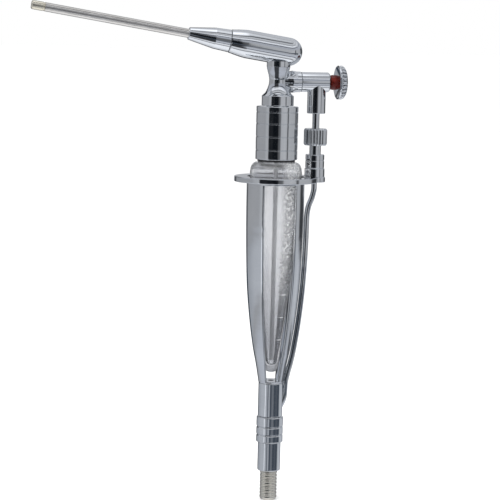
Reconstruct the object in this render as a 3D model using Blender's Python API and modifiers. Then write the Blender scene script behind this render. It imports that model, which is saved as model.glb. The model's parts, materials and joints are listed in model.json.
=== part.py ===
"""Spray gun with a glass medicine bottle: a chromed holder with two windows, a bottle under a
screw collar, a push-button air valve and a long spray tube. Metres, +Z up the handle.

The origin is on the handle's axis at the hose tail's lower end. The spray tube points to -X and
up, the valve and its button point to +X, and a window faces -Y and another +Y.
Sizes below are in millimetres and MM turns them into metres.
"""

from math import cos, pi, radians, sin, tan

import bmesh
import bpy
from mathutils import Vector

MM = 0.001
GAP = 0.3  # clearance between pieces that rest on each other
MANY_FACES = 32  # faces round the widest turned pieces
FACES = 24  # faces round the usual ones
FEW_FACES = 16  # faces round small and hidden ones
CUTTER_TWIST = radians(5)  # keeps a cutter's corners off those of the piece it cuts

# Heights on the handle's axis
TAIL_TOP = 14.1
SLEEVE_TOP = 28.3
COUPLING_TOP = 40.7
STEM_TOP = 57.4
SHELL_TOP = 154.6
FLANGE_TOP = 157.1
COLLAR_BOTTOM = 165.3
COLLAR_TOP = 190.6
NECK_RING_TOP = 195.5
VALVE_Z = 202.3
HEAD_Z = 217.2

# Radii on the handle's axis
TAIL_R = 4.2
TAIL_BORE_R = 0.85
SLEEVE_R = 5.5
COUPLING_R = 6.43
STEM_R = 5.9
SHELL_R = 13.9
SHELL_WALL = 1.0
WINDOW_HALF_ANGLE = radians(35)
WINDOW_BOTTOM = 58.3
WINDOW_TOP = 153.4
FLANGE_R = 20.0
BOTTLE_R = 12.15
COLLAR_R = 10.05
NECK_RING_R = 7.67
NECK_BORE_R = 3.0
AIR_BORE_R = 2.2

# Head and spray tube, measured along their own tilted axis from the handle's axis
HEAD_TILT = radians(9.1)
HEAD_R = 6.7
HEAD_REAR = -11.35
HEAD_FRONT = 24.2
CHAMBER_R = 4.6
NOZZLE_FRONT = 44.2
TUBE_R = 2.13
FERRULE_REAR = 112.8
TIP = 119.2

# Valve, measured along +X from the handle's axis
BOSS_END = 10.8
VALVE_END = 24.7
VALVE_R = 4.7
BUTTON_TRAVEL = 2.5
COLOUR_RING_END = 30.1
BUTTON_REAR = 28.7
BUTTON_FRONT = 32.9
BUTTON_R = 8.1
SCALLOPS = 24

# Down pipe, union and air tube, on a vertical axis beside the handle
PIPE_X = 18.9
STUB_R = 4.4
STUB_BOTTOM = 187.4
PIPE_R = 1.7
NUT_TOP = 180.2
NUT_BOTTOM = 172.2
NUT_R = 5.6
NUT_RIBS = 20
FITTING_R = 4.83
LOBE_R = 5.2
AIR_TUBE_R = 1.35
AIR_TUBE_BORE_R = 0.85
PORT_Z = 48.2

# The holder's outer profile (radius, height), from the stem to its straight part
SHELL_CURVE = [(6.0, 57.5), (6.3, 59.5), (7.6, 67.0), (9.2, 75.0), (11.0, 87.4), (12.4, 101.0),
               (13.1, 112.0), (13.6, 126.0), (13.85, 140.0)]


# ---------------------------------------------------------------- scene and materials

def clear_scene():
    for obj in list(bpy.data.objects):
        bpy.data.objects.remove(obj, do_unlink=True)


def new_collection(name):
    group = bpy.data.collections.new(name)
    bpy.context.scene.collection.children.link(group)
    return group


def new_material(name, colour, metallic, roughness, alpha=1.0):
    made = bpy.data.materials.new(name)
    made.use_nodes = True
    shader = made.node_tree.nodes["Principled BSDF"]
    shader.inputs["Base Color"].default_value = (*colour, 1.0)
    shader.inputs["Metallic"].default_value = metallic
    shader.inputs["Roughness"].default_value = roughness
    shader.inputs["Alpha"].default_value = alpha
    return made


clear_scene()
PARTS = new_collection("medicine_spray_gun")
CUTTERS = new_collection("cutters")

CHROME = new_material("chrome", (0.78, 0.79, 0.81), 1.0, 0.06)
NICKEL = new_material("brushed_nickel", (0.70, 0.67, 0.60), 1.0, 0.25)
BRASS = new_material("pale_brass", (0.86, 0.78, 0.56), 1.0, 0.2)
STEEL = new_material("steel", (0.62, 0.62, 0.63), 1.0, 0.3)
GLASS = new_material("bottle_glass", (0.80, 0.83, 0.85), 0.0, 0.03, 0.35)
RUBBER = new_material("black_rubber", (0.04, 0.04, 0.045), 0.0, 0.6)
SEAL = new_material("white_seal", (0.85, 0.85, 0.82), 0.0, 0.4)
RED = new_material("red_ring", (0.36, 0.03, 0.01), 0.0, 0.25)


# ---------------------------------------------------------------- modelling tools

def frame_empty(name, place=(0, 0, 0), tilt_y=0.0):
    """An axis that turned pieces stand on: their own +Z runs along it."""
    empty = bpy.data.objects.new(name, None)
    empty.location = Vector(place) * MM
    empty.rotation_euler = (0, tilt_y, 0)
    PARTS.objects.link(empty)
    return empty


HANDLE = frame_empty("handle_axis")
HEAD = frame_empty("head_axis", (0, 0, HEAD_Z), tilt_y=-(pi / 2 - HEAD_TILT))
VALVE = frame_empty("valve_axis", (0, 0, VALVE_Z), tilt_y=pi / 2)
PIPE = frame_empty("pipe_axis", (PIPE_X, 0, 0))
bpy.context.view_layer.update()


def add_object(name, data, material, axis, group=PARTS):
    obj = bpy.data.objects.new(name, data)
    obj.parent = axis
    if material is not None:
        data.materials.append(material)
    group.objects.link(obj)
    return obj


def smooth(obj):
    obj.data.shade_smooth()
    obj.data.set_sharp_from_angle(angle=radians(35))


def baked(obj):
    """Replaces the object's mesh with its evaluated one, welded, and drops its modifiers."""
    bpy.context.view_layer.update()
    graph = bpy.context.evaluated_depsgraph_get()
    mesh = bpy.data.meshes.new_from_object(obj.evaluated_get(graph))
    work = bmesh.new()
    work.from_mesh(mesh)
    bmesh.ops.remove_doubles(work, verts=work.verts, dist=0.001 * MM)
    work.to_mesh(mesh)
    work.free()
    if obj.type == "MESH":
        obj.modifiers.clear()
        obj.data = mesh
        return obj
    made = bpy.data.objects.new(obj.name, mesh)
    made.parent = obj.parent
    made.location = obj.location
    group = obj.users_collection[0]
    name = obj.name
    bpy.data.objects.remove(obj, do_unlink=True)
    made.name = name
    group.objects.link(made)
    return made


def turned(name, outer, material, axis, inner=None, faces=FACES, group=PARTS):
    """A turned piece. Both lists hold (radius, height) from top to bottom. With no inner list the
    piece is solid, and the outer list is closed onto the axis at both ends."""
    if inner is None:
        points = [(0, outer[0][1]), *outer, (0, outer[-1][1])]
    else:
        points = [*outer, *reversed(inner)]
    mesh = bpy.data.meshes.new(name)
    edges = [(i, i + 1) for i in range(len(points) - 1)]
    if inner is not None:
        edges.append((len(points) - 1, 0))
    mesh.from_pydata([(r * MM, 0, z * MM) for r, z in points], edges, [])
    obj = add_object(name, mesh, material, axis, group)
    screw = obj.modifiers.new("turn", "SCREW")
    screw.steps = screw.render_steps = faces
    screw.use_merge_vertices = True
    screw.merge_threshold = 0.00001
    screw.use_smooth_shade = True
    return obj


def cutter(name, outer, axis, faces=FEW_FACES):
    obj = turned(name, outer, None, axis, faces=faces, group=CUTTERS)
    obj.rotation_euler.z = CUTTER_TWIST
    obj.hide_render = True
    obj.display_type = "WIRE"
    return obj


def rod(radius, top, bottom):
    """The outer list of a plain cylinder."""
    return [(radius, top), (radius, bottom)]


def boolean(obj, other, operation):
    step = obj.modifiers.new(f"{operation.lower()}_{other.name}", "BOOLEAN")
    step.operation = operation
    step.object = other
    return step


def cut(obj, *others):
    for other in others:
        boolean(obj, other, "DIFFERENCE")
    return obj


def joined(obj, other):
    """Adds the other object to this one, and takes it off the list of parts."""
    boolean(obj, other, "UNION")
    for group in list(other.users_collection):
        group.objects.unlink(other)
    CUTTERS.objects.link(other)
    other.hide_render = True
    other.display_type = "WIRE"
    return obj


def grooved(radius, top, bottom, grooves, width=0.9, depth=0.35, chamfer=0.4):
    """The outer list of a chamfered cylinder with vee grooves at the given heights."""
    points = [(radius - chamfer, top), (radius, top - chamfer)]
    for z in sorted(grooves, reverse=True):
        points += [(radius, z + width / 2), (radius - depth, z), (radius, z - width / 2)]
    return points + [(radius, bottom + chamfer), (radius - chamfer, bottom)]


def torus(name, ring_r, thick_r, z, material, axis, faces=FEW_FACES, sides=8):
    """A seal ring: a small circle turned round the axis."""
    circle = [(ring_r + thick_r * cos(a), z - thick_r * sin(a))
              for a in (2 * pi * i / sides for i in range(sides))]
    mesh = bpy.data.meshes.new(name)
    mesh.from_pydata([(r * MM, 0, h * MM) for r, h in circle],
                     [(i, (i + 1) % sides) for i in range(sides)], [])
    obj = add_object(name, mesh, material, axis)
    screw = obj.modifiers.new("turn", "SCREW")
    screw.steps = screw.render_steps = faces
    screw.use_merge_vertices = True
    screw.merge_threshold = 0.00001
    return obj


def pipe(name, points, radius, bore_r, material, axis, resolution=6, faces=4):
    """A tube along smooth points: a bevelled curve thickened inwards."""
    curve = bpy.data.curves.new(name, "CURVE")
    curve.dimensions = "3D"
    curve.resolution_u = resolution
    curve.bevel_depth = radius * MM
    curve.bevel_resolution = faces
    spline = curve.splines.new("BEZIER")
    spline.bezier_points.add(len(points) - 1)
    for knot, place in zip(spline.bezier_points, points):
        knot.co = Vector(place) * MM
        knot.handle_left_type = knot.handle_right_type = "AUTO"
    obj = baked(add_object(name, curve, material, axis))
    wall = obj.modifiers.new("wall", "SOLIDIFY")
    wall.thickness = (radius - bore_r) * MM
    wall.offset = -1
    obj.data.shade_smooth()
    return obj


def shaped_rim(obj, from_r, count, depth):
    """Draws the vertices outside from_r in and out, count times round the axis."""
    baked(obj)
    for vertex in obj.data.vertices:
        flat = vertex.co.xy
        if flat.length < from_r * MM:
            continue
        wave = (1 - cos(count * flat.angle_signed(Vector((1, 0))))) / 2
        flat *= 1 - depth * MM * wave / flat.length
        vertex.co.x, vertex.co.y = flat
    smooth(obj)
    return obj


# ---------------------------------------------------------------- holder

def shell_radius(z):
    """The holder's outer radius at a height, between the points of its profile."""
    for (r0, z0), (r1, z1) in zip(SHELL_CURVE, SHELL_CURVE[1:]):
        if z0 <= z <= z1:
            return r0 + (r1 - r0) * (z - z0) / (z1 - z0)
    return SHELL_CURVE[0][0] if z < SHELL_CURVE[0][1] else SHELL_R


def window_cutter(side):
    """A wedge from beside the axis out through the wall, so that a window's sides are radial."""
    slope = tan(WINDOW_HALF_ANGLE)
    near, far = 1.0, 20.0
    outline = [(-near * slope, near), (near * slope, near), (far * slope, far), (-far * slope, far)]
    work = bmesh.new()
    face = work.faces.new([work.verts.new((x * MM, side * y * MM, WINDOW_BOTTOM * MM))
                           for x, y in outline])
    grown = bmesh.ops.extrude_face_region(work, geom=[face])
    moved = [part for part in grown["geom"] if isinstance(part, bmesh.types.BMVert)]
    bmesh.ops.translate(work, verts=moved, vec=(0, 0, (WINDOW_TOP - WINDOW_BOTTOM) * MM))
    bmesh.ops.recalc_face_normals(work, faces=work.faces)
    mesh = bpy.data.meshes.new("window_cutter")
    work.to_mesh(mesh)
    work.free()
    obj = add_object("window_cutter", mesh, None, HANDLE, CUTTERS)
    obj.hide_render = True
    obj.display_type = "WIRE"
    return obj


def build_holder():
    curve = list(reversed(SHELL_CURVE))
    plug_r = 4.3
    plug_bottom = STEM_TOP - 4.9
    outer = [(SHELL_R, SHELL_TOP - GAP), *curve, (plug_r, SHELL_CURVE[0][1]), (plug_r, plug_bottom)]
    inner = [(SHELL_R - SHELL_WALL, SHELL_TOP - GAP)]
    inner += [(r - SHELL_WALL, z) for r, z in curve[:-2]]
    inner += [(4.6, WINDOW_BOTTOM), (1.5, WINDOW_BOTTOM), (1.5, plug_bottom)]
    shell = turned("holder_shell", outer, CHROME, HANDLE, inner, faces=MANY_FACES)
    cut(shell, window_cutter(-1), window_cutter(1))

    flange_bottom = SHELL_TOP
    seat_r = 13.7
    hole_r = 12.9
    # A shallow step over the shell's end, so that the flat underside starts outside the shell.
    rebate_r = SHELL_R + GAP
    flange = turned(
        "hanger_flange",
        [(FLANGE_R - 0.4, FLANGE_TOP), (FLANGE_R, FLANGE_TOP - 0.4),
         (FLANGE_R, flange_bottom + 0.4), (FLANGE_R - 0.4, flange_bottom)],
        CHROME, HANDLE,
        [(seat_r, FLANGE_TOP), (seat_r, FLANGE_TOP - 1.5), (hole_r, FLANGE_TOP - 1.5),
         (hole_r, flange_bottom + GAP), (rebate_r, flange_bottom + GAP),
         (rebate_r, flange_bottom)],
        faces=MANY_FACES)
    lobe = turned("flange_lobe", [(LOBE_R, FLANGE_TOP), (LOBE_R, flange_bottom)], CHROME, PIPE)
    # The lobe stays outside the ring's hole, so only its outer part is added.
    cut(lobe, cutter("lobe_trim", rod(16.0, FLANGE_TOP + 2, flange_bottom - 2), HANDLE, MANY_FACES))
    joined(flange, lobe)
    cut(flange, cutter("tube_hole", rod(AIR_TUBE_R + GAP, FLANGE_TOP + 2, flange_bottom - 2), PIPE))

    turned("seat_ring",
           [(seat_r - 0.2, FLANGE_TOP - 0.1), (seat_r - 0.2, FLANGE_TOP - 1.3)], RUBBER, HANDLE,
           [(BOTTLE_R + 0.25, FLANGE_TOP - 0.1), (BOTTLE_R + 0.25, FLANGE_TOP - 1.3)])

    spigot_r = 4.5
    stem = turned(
        "stem",
        [(STEM_R, STEM_TOP - 0.1), (STEM_R, COUPLING_TOP + GAP), (spigot_r, COUPLING_TOP + GAP),
         (spigot_r, COUPLING_TOP - 5.6)],
        CHROME, HANDLE,
        [(plug_r + GAP, STEM_TOP - 0.1), (plug_r + GAP, plug_bottom - GAP),
         (0.8, plug_bottom - GAP), (0.8, PORT_Z + 2.5), (AIR_BORE_R, PORT_Z + 2.5),
         (AIR_BORE_R, COUPLING_TOP - 5.6)])
    port = cutter("port_cutter", rod(AIR_TUBE_R + 2 * GAP, 12, 1.2), None)
    port.location = (0, 0, PORT_Z * MM)
    port.rotation_euler = (0, pi / 2, CUTTER_TWIST / 10)
    cut(stem, port)


def build_air_tube():
    """Out of the stem's port, up beside the holder, and through the flange into the union."""
    stand_off = AIR_TUBE_R + 0.5
    beside_stem = STEM_R + AIR_TUBE_R + 0.2
    lower = [(5.1, PORT_Z), (6.5, PORT_Z + 0.8), (beside_stem, PORT_Z + 3.8), (beside_stem, 57.0)]
    along = [(shell_radius(z) + stand_off, z) for z in (67.0, 75.0, 101.0, 126.0)]
    upper = [(15.8, 139.5), (16.5, 143.4), (18.1, 147.4), (PIPE_X, 151.0),
             (PIPE_X, FLANGE_TOP + 2.9)]
    points = [(x, 0, z) for x, z in lower + along + upper]
    pipe("air_tube", points, AIR_TUBE_R, AIR_TUBE_BORE_R, CHROME, HANDLE, resolution=3, faces=1)


def build_union():
    socket_r = AIR_TUBE_R + GAP
    turned(
        "union_fitting",
        [(3.3, 174.2), (3.7, 173.8), (3.7, NUT_BOTTOM + 0.4), (2.77, NUT_BOTTOM - 0.2),
         (2.77, 167.8), (4.34, 167.8), (4.54, 167.6), (4.54, 161.5), (4.3, 161.3), (FITTING_R, 161.0),
         (FITTING_R, FLANGE_TOP + 0.1)],
        CHROME, PIPE,
        [(1.2, 174.2), (1.2, 161.0), (socket_r, 160.4), (socket_r, FLANGE_TOP + 0.1)],
        faces=FEW_FACES)
    turned("union_seal", rod(3.2, 175.0, 174.4), SEAL, PIPE, rod(1.3, 175.0, 174.4),
           faces=FEW_FACES)
    turned("pipe_ferrule", [(2.4, 177.2), (3.3, 176.6), (3.3, 175.2)], BRASS, PIPE,
           [(PIPE_R + 0.2, 177.2), (PIPE_R + 0.2, 175.2)], faces=FEW_FACES)
    turned("down_pipe", rod(PIPE_R, 191.4, 175.2), CHROME, PIPE, rod(1.0, 191.4, 175.2),
           faces=FEW_FACES)
    bore_r = 4.1
    nut = turned(
        "union_nut",
        [(NUT_R - 0.5, NUT_TOP), (NUT_R, NUT_TOP - 0.4), (NUT_R, NUT_BOTTOM + 0.4),
         (NUT_R - 0.5, NUT_BOTTOM)],
        CHROME, PIPE,
        [(PIPE_R + GAP, NUT_TOP), (PIPE_R + GAP, 177.9), (bore_r, 177.9), (bore_r, NUT_BOTTOM)],
        faces=2 * NUT_RIBS)
    shaped_rim(nut, NUT_R - 0.7, NUT_RIBS, 0.4)


# ---------------------------------------------------------------- bottle and collar

def build_bottle():
    """Thick at the foot, thin in the straight part, with a round shoulder and a short neck."""
    outer = [(8.55, 179.6), (8.55, 164.0), (10.75, 163.7), (12.1, 161.8), (12.5, 158.9),
             (BOTTLE_R, 156.6), (BOTTLE_R, 138.0), (11.4, 128.0), (8.0, 105.0), (5.7, 85.0),
             (3.9, 69.0), (2.6, 64.0), (0.0, 62.4)]
    inner = [(6.9, 179.6), (6.9, 164.0), (10.2, 161.8), (11.0, 158.6), (10.8, 138.0),
             (9.7, 128.0), (5.8, 105.0), (3.7, 85.0), (2.1, 69.0), (0.0, 65.4)]
    turned("glass_bottle", outer, GLASS, HANDLE, inner)


def build_collar():
    bore_r = 9.1
    web_z = 184.0
    grooves = (169.8, 176.2, 182.4)
    outer = grooved(COLLAR_R, COLLAR_TOP, COLLAR_BOTTOM, (187.9, *grooves), width=0.8, depth=0.3)
    turned("bottle_collar", outer, CHROME, HANDLE,
           [(5.5, COLLAR_TOP), (5.5, web_z), (bore_r, web_z), (bore_r, COLLAR_BOTTOM)])
    turned("shoulder_ring", rod(9.0, 165.1, 164.3), RUBBER, HANDLE, rod(8.75, 165.1, 164.3))
    turned("mouth_seal", rod(8.5, 180.8, 179.9), SEAL, HANDLE, rod(6.9, 180.8, 179.9))
    turned("tube_plug",
           [(2.7, 188.6), (2.7, 183.5), (8.4, 183.5), (8.4, 181.1)], BRASS, HANDLE,
           [(1.3, 188.6), (1.3, 181.1)])
    turned("dip_tube", rod(1.0, 184.6, 68.4), STEEL, HANDLE, rod(0.6, 184.6, 68.4), faces=16)


# ---------------------------------------------------------------- neck, head and spray tube

def build_neck():
    spigot_r = 5.2
    outer = [(5.65, 215.0), (5.65, 208.5), (4.8, 205.6), (4.3, 203.0), (4.5, 200.7), (5.5, 198.0),
             (6.95, 196.2), (NECK_RING_R, NECK_RING_TOP), (NECK_RING_R, COLLAR_TOP + 0.3),
             (spigot_r, COLLAR_TOP + 0.3), (spigot_r, 183.8)]
    neck = turned("neck", outer, CHROME, HANDLE)
    boss = turned("valve_boss",
                  [(4.9, BOSS_END - 0.1), (4.9, 8.6), (5.3, 6.8), (4.8, 4.6), (3.2, 2.4)],
                  CHROME, VALVE)
    joined(neck, boss)
    # Everything above the head's underside goes, so that the head lies in a saddle.
    saddle = cutter("saddle_cutter", rod(HEAD_R + 0.15, 30, -30), HEAD, FACES)
    bore = cutter("neck_bore", rod(NECK_BORE_R, 222, 180), HANDLE)
    boss_bore = cutter("boss_bore", [(3.5, BOSS_END + 2), (3.5, 5.6), (1.4, 5.6), (1.4, 1.0)], VALVE)
    cut(neck, saddle, bore, boss_bore)


def build_head():
    """The barrel, closed by a half ball behind, with a chamber open to the nozzle."""
    steps = 4
    dome = [(HEAD_R * cos(a), HEAD_REAR + HEAD_R - HEAD_R * sin(a))
            for a in (pi / 2 * i / steps for i in range(steps + 1))]
    outer = [(5.4, HEAD_FRONT), (6.1, 20.5), (HEAD_R, 16.1),
             *dome[:-1], (0.0, HEAD_REAR)]
    inner = [(CHAMBER_R, HEAD_FRONT), (CHAMBER_R, -3.6), (3.4, -5.6), (0.0, -6.3)]
    barrel = turned("head_barrel", outer, CHROME, HEAD, inner)
    cut(barrel, cutter("head_hole", rod(NECK_BORE_R - 0.3, HEAD_Z, 204), HANDLE))

    spigot_r = CHAMBER_R - GAP
    bore_r = TUBE_R + 0.25
    groove_z = 19.0
    turned(
        "nozzle_nut",
        [(2.75, NOZZLE_FRONT), (2.95, NOZZLE_FRONT - 0.2), (4.95, 31.9), (5.0, 31.6),
         (5.35, HEAD_FRONT + 0.35), (5.2, HEAD_FRONT + 0.2), (spigot_r, HEAD_FRONT + 0.2),
         (spigot_r, groove_z + 0.7), (spigot_r - 0.9, groove_z + 0.7),
         (spigot_r - 0.9, groove_z - 0.7), (spigot_r, groove_z - 0.7), (spigot_r, 15.0)],
        CHROME, HEAD,
        [(bore_r, NOZZLE_FRONT), (bore_r, 27.7), (1.5, 27.7), (1.5, 15.0)])
    torus("nozzle_seal", spigot_r - 0.32, 0.5, groove_z, RUBBER, HEAD)
    turned("spray_tube", rod(TUBE_R, FERRULE_REAR - 0.1, 28.0), NICKEL, HEAD,
           rod(1.6, FERRULE_REAR - 0.1, 28.0), faces=FEW_FACES)
    turned("spray_tip",
           [(1.7, TIP), (2.0, TIP - 0.3), (2.15, TIP - 0.6), (2.15, FERRULE_REAR + 0.9),
            (1.95, FERRULE_REAR + 0.7), (1.95, FERRULE_REAR + 0.4), (2.15, FERRULE_REAR + 0.2),
            (2.15, FERRULE_REAR + 0.1), (1.4, FERRULE_REAR + 0.1), (1.4, FERRULE_REAR - 4)],
           BRASS, HEAD,
           [(0.5, TIP), (0.5, TIP - 0.8), (1.1, TIP - 1.4), (1.1, FERRULE_REAR - 4)],
           faces=FEW_FACES)

    # The liquid tube rises in the neck, turns with the head, and ends behind the tip.
    bend = 4.5
    forward = Vector((-cos(HEAD_TILT), 0, sin(HEAD_TILT)))
    corner = Vector((0, 0, HEAD_Z))
    start = corner + forward * bend
    middle = corner + (forward * bend - Vector((0, 0, bend))) * 0.29
    path = [(0, 0, 185.2), (0, 0, 199.0), (0, 0, HEAD_Z - bend), tuple(middle), tuple(start),
            tuple(corner + forward * 30), tuple(corner + forward * (TIP - 2.6))]
    pipe("liquid_tube", path, 0.7, 0.4, STEEL, HANDLE, resolution=3, faces=0)


# ---------------------------------------------------------------- valve

def build_valve():
    """A tee: the air comes up the stub, and the disc on the spindle holds it back from the neck."""
    chamber_r = 3.4
    seat = (15.4, 16.4)
    gland_front = VALVE_END - BUTTON_TRAVEL - 0.4
    mouth = gland_front - 1.7
    body = turned("valve_body",
                  [(4.3, VALVE_END), (VALVE_R, VALVE_END - 0.6), (VALVE_R, BOSS_END + 0.3),
                   (4.5, BOSS_END + 0.1)],
                  CHROME, VALVE)
    stub = turned("valve_stub", [(STUB_R, VALVE_Z), (STUB_R, STUB_BOTTOM + 0.2),
                                 (STUB_R - 0.2, STUB_BOTTOM)], CHROME, PIPE)
    joined(body, stub)
    cut(body,
        cutter("valve_bore",
               [(3.85, VALVE_END + 2), (3.85, mouth), (chamber_r, mouth), (chamber_r, seat[1]),
                (1.9, seat[1]), (1.9, seat[0]), (chamber_r, seat[0]), (chamber_r, BOSS_END - 2)],
               VALVE, FACES),
        cutter("stub_bore",
               [(1.3, VALVE_Z), (1.3, 191.7), (2.0, 191.7), (2.0, STUB_BOTTOM - 2)], PIPE))

    rod_r = 1.2
    turned("valve_gland", rod(3.6, gland_front, mouth + 0.2), BRASS, VALVE,
           [(rod_r + 0.2, gland_front), (rod_r + 0.2, gland_front - 0.4),
            (2.25, gland_front - 0.4), (2.25, mouth + 0.2)],
           faces=FEW_FACES)
    torus("spindle_seal", rod_r + 0.53, 0.42, gland_front - 0.95, RUBBER, VALVE)
    turned("valve_spindle",
           [(rod_r, COLOUR_RING_END + 1.1), (rod_r, 13.2), (2.4, 13.2), (2.4, 12.6), (rod_r, 12.6), (rod_r, 11.6)],
           STEEL, VALVE, faces=FEW_FACES)
    turned("valve_disc", rod(2.8, 15.1, 13.4), RUBBER, VALVE, rod(rod_r + 0.2, 15.1, 13.4),
           faces=FEW_FACES)
    build_spring(5.9, 12.3, 1.85, 0.25, 4)

    ring_bore = rod_r + 0.6
    turned("colour_ring",
           [(3.05, COLOUR_RING_END), (3.45, 28.8), (3.55, 27.4), (3.4, 25.9), (3.1, VALVE_END)],
           RED, VALVE, rod(ring_bore, COLOUR_RING_END, VALVE_END), faces=FEW_FACES)
    hub_r = 3.2
    button = turned(
        "push_button",
        [(3.8, BUTTON_FRONT), (6.8, BUTTON_FRONT - 0.6), (BUTTON_R, 31.2),
         (BUTTON_R, BUTTON_REAR + 0.5), (7.5, BUTTON_REAR), (5.2, BUTTON_REAR + 0.8),
         (hub_r, COLOUR_RING_END + GAP), (1.5, COLOUR_RING_END + GAP),
         (1.5, COLOUR_RING_END + 1.4)],
        CHROME, VALVE, faces=2 * SCALLOPS)
    shaped_rim(button, 7.6, SCALLOPS, 0.5)


def build_spring(rear, front, coil_r, wire_r, turns):
    """The return spring in the boss, pushing the disc onto its seat."""
    points_per_turn = 10
    count = turns * points_per_turn
    curve = bpy.data.curves.new("valve_spring", "CURVE")
    curve.dimensions = "3D"
    curve.bevel_depth = wire_r * MM
    curve.bevel_resolution = 0
    curve.use_fill_caps = True
    spline = curve.splines.new("POLY")
    spline.points.add(count)
    for i, knot in enumerate(spline.points):
        angle = 2 * pi * i / points_per_turn
        along = rear + wire_r + (front - rear - 2 * wire_r) * i / count
        knot.co = (coil_r * MM * cos(angle), coil_r * MM * sin(angle), along * MM, 1)
    return add_object("valve_spring", curve, STEEL, VALVE)


# ---------------------------------------------------------------- hose end

def build_hose_end():
    thread_r = 4.5
    spigot_top = 34.0
    turned("coupling_sleeve",
           grooved(COUPLING_R, COUPLING_TOP, SLEEVE_TOP + 0.1, (32.0, 35.9), width=0.8),
           CHROME, HANDLE,
           [(thread_r + GAP, COUPLING_TOP), (thread_r + GAP, SLEEVE_TOP + 0.1)])
    turned("coupling_seal", rod(4.3, 34.8, 34.2), RUBBER, HANDLE, rod(AIR_BORE_R, 34.8, 34.2),
           faces=FEW_FACES)
    socket_r = 3.3
    turned("hose_sleeve",
           [(thread_r, spigot_top), (thread_r, SLEEVE_TOP - 0.1), (SLEEVE_R, SLEEVE_TOP - 0.1),
            (SLEEVE_R, TAIL_TOP + 0.7), (SLEEVE_R - 0.5, TAIL_TOP + 0.2)],
           CHROME, HANDLE,
           [(AIR_BORE_R, spigot_top), (AIR_BORE_R, 26.3), (socket_r, 26.3),
            (socket_r, TAIL_TOP + 0.2)])
    ribs = 8
    pitch = (TAIL_TOP - 0.3) / ribs
    outer = [(socket_r - GAP, 26.0), (socket_r - GAP, TAIL_TOP), (TAIL_R - 0.5, TAIL_TOP)]
    for i in range(ribs):
        top = TAIL_TOP - pitch * i
        outer += [(TAIL_R, top - pitch / 2), (TAIL_R - 0.5, top - pitch)]
    outer.append((TAIL_R - 0.7, 0.0))
    turned("hose_tail", outer, NICKEL, HANDLE, rod(TAIL_BORE_R, 26.0, 0.0), faces=20)


build_holder()
build_air_tube()
build_union()
build_bottle()
build_collar()
build_neck()
build_head()
build_valve()
build_hose_end()
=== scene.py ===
"""Looks of a hand-held medicine spray gun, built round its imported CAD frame.

Metres, +Z up the handle, the front window faces -Y. Outlines are in millimetres, as (radius, height) along
the axis a piece is turned on, with an optional third number, the radius that its corner is rounded to. An
outline that starts on the axis ends on it too; any other is closed.
"""

import json
from math import cos, hypot, pi, radians, sin, sqrt, tan

import bmesh
import bpy
from mathutils import Matrix, Vector


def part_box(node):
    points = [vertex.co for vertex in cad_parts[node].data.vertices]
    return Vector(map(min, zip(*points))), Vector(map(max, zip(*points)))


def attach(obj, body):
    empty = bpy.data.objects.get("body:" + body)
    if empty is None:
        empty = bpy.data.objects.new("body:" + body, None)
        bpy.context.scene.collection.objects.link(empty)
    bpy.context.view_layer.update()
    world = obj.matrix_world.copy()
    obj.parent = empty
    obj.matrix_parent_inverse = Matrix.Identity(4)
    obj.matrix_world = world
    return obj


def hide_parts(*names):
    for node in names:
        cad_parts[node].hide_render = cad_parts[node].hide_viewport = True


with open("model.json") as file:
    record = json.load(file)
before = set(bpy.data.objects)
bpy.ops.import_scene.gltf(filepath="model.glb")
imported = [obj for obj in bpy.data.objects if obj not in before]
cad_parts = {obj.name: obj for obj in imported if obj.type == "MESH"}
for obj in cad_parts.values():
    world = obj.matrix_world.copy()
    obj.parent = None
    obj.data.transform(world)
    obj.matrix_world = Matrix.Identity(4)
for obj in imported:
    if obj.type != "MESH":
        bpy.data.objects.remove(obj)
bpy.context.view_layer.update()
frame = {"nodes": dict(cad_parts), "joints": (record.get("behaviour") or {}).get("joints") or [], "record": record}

MM = 0.001
RECORD = frame["record"]
JOINTS = {joint["name"]: joint for joint in frame["joints"]}
BODY = {node: body for body, nodes in RECORD["behaviour"]["bodies"].items() for node in nodes}
SLOT = {part["node"]: part["material_slot"] for part in RECORD["subparts"]}


# ---------------------------------------------------------------- places

def low(node):
    """Lowest corner of a CAD node, in millimetres."""
    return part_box(node)[0] / MM


def high(node):
    """Highest corner of a CAD node, in millimetres."""
    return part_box(node)[1] / MM


def span(node):
    """Bottom and top of a CAD node, in millimetres."""
    return low(node).z, high(node).z


def axis_place(point, direction):
    """Matrix that puts an outline's own axis through point along direction."""
    turn = Vector((0, 0, 1)).rotation_difference(Vector(direction))
    return Matrix.Translation(Vector(point)) @ turn.to_matrix().to_4x4()


VALVE_HEIGHT = (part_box("push_button")[0].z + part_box("push_button")[1].z) / 2
HANDLE = Matrix.Identity(4)
HEAD = axis_place(JOINTS["nozzle_turn"]["pos_m"], JOINTS["nozzle_turn"]["axis"])
VALVE = axis_place((0, 0, VALVE_HEIGHT), (1, 0, 0))
PIPE = axis_place((JOINTS["union_nut_turn"]["pos_m"][0], 0, 0), (0, 0, 1))
PIPE_X = PIPE.translation.x / MM


# ---------------------------------------------------------------- outlines

ARC_STEPS = 4  # faces in a rounded corner
CORNER_SHARE = 0.45  # the most of a straight run that one rounded corner takes
HOLD = 0.07  # how far from a corner a straight run gets its holding ring
LEAST_RUN = 6 * HOLD  # a shorter run gets none
SHARP_TURN = radians(5)  # nor does a run beside a corner that turns less


def rounded(points):
    """Outline with corners rounded as their third numbers say, and holding points beside sharp turns."""
    count = len(points)
    closed = points[0][0] > 0
    dense = []
    for i, point in enumerate(points):
        here = Vector(point[:2])
        radius = point[2] if len(point) > 2 else 0
        if not radius or (not closed and i in (0, count - 1)):
            dense.append(here)
            continue
        back = Vector(points[i - 1][:2]) - here
        ahead = Vector(points[(i + 1) % count][:2]) - here
        dense += corner_arc(here, back, ahead, radius)
    return held(dense)


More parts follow.
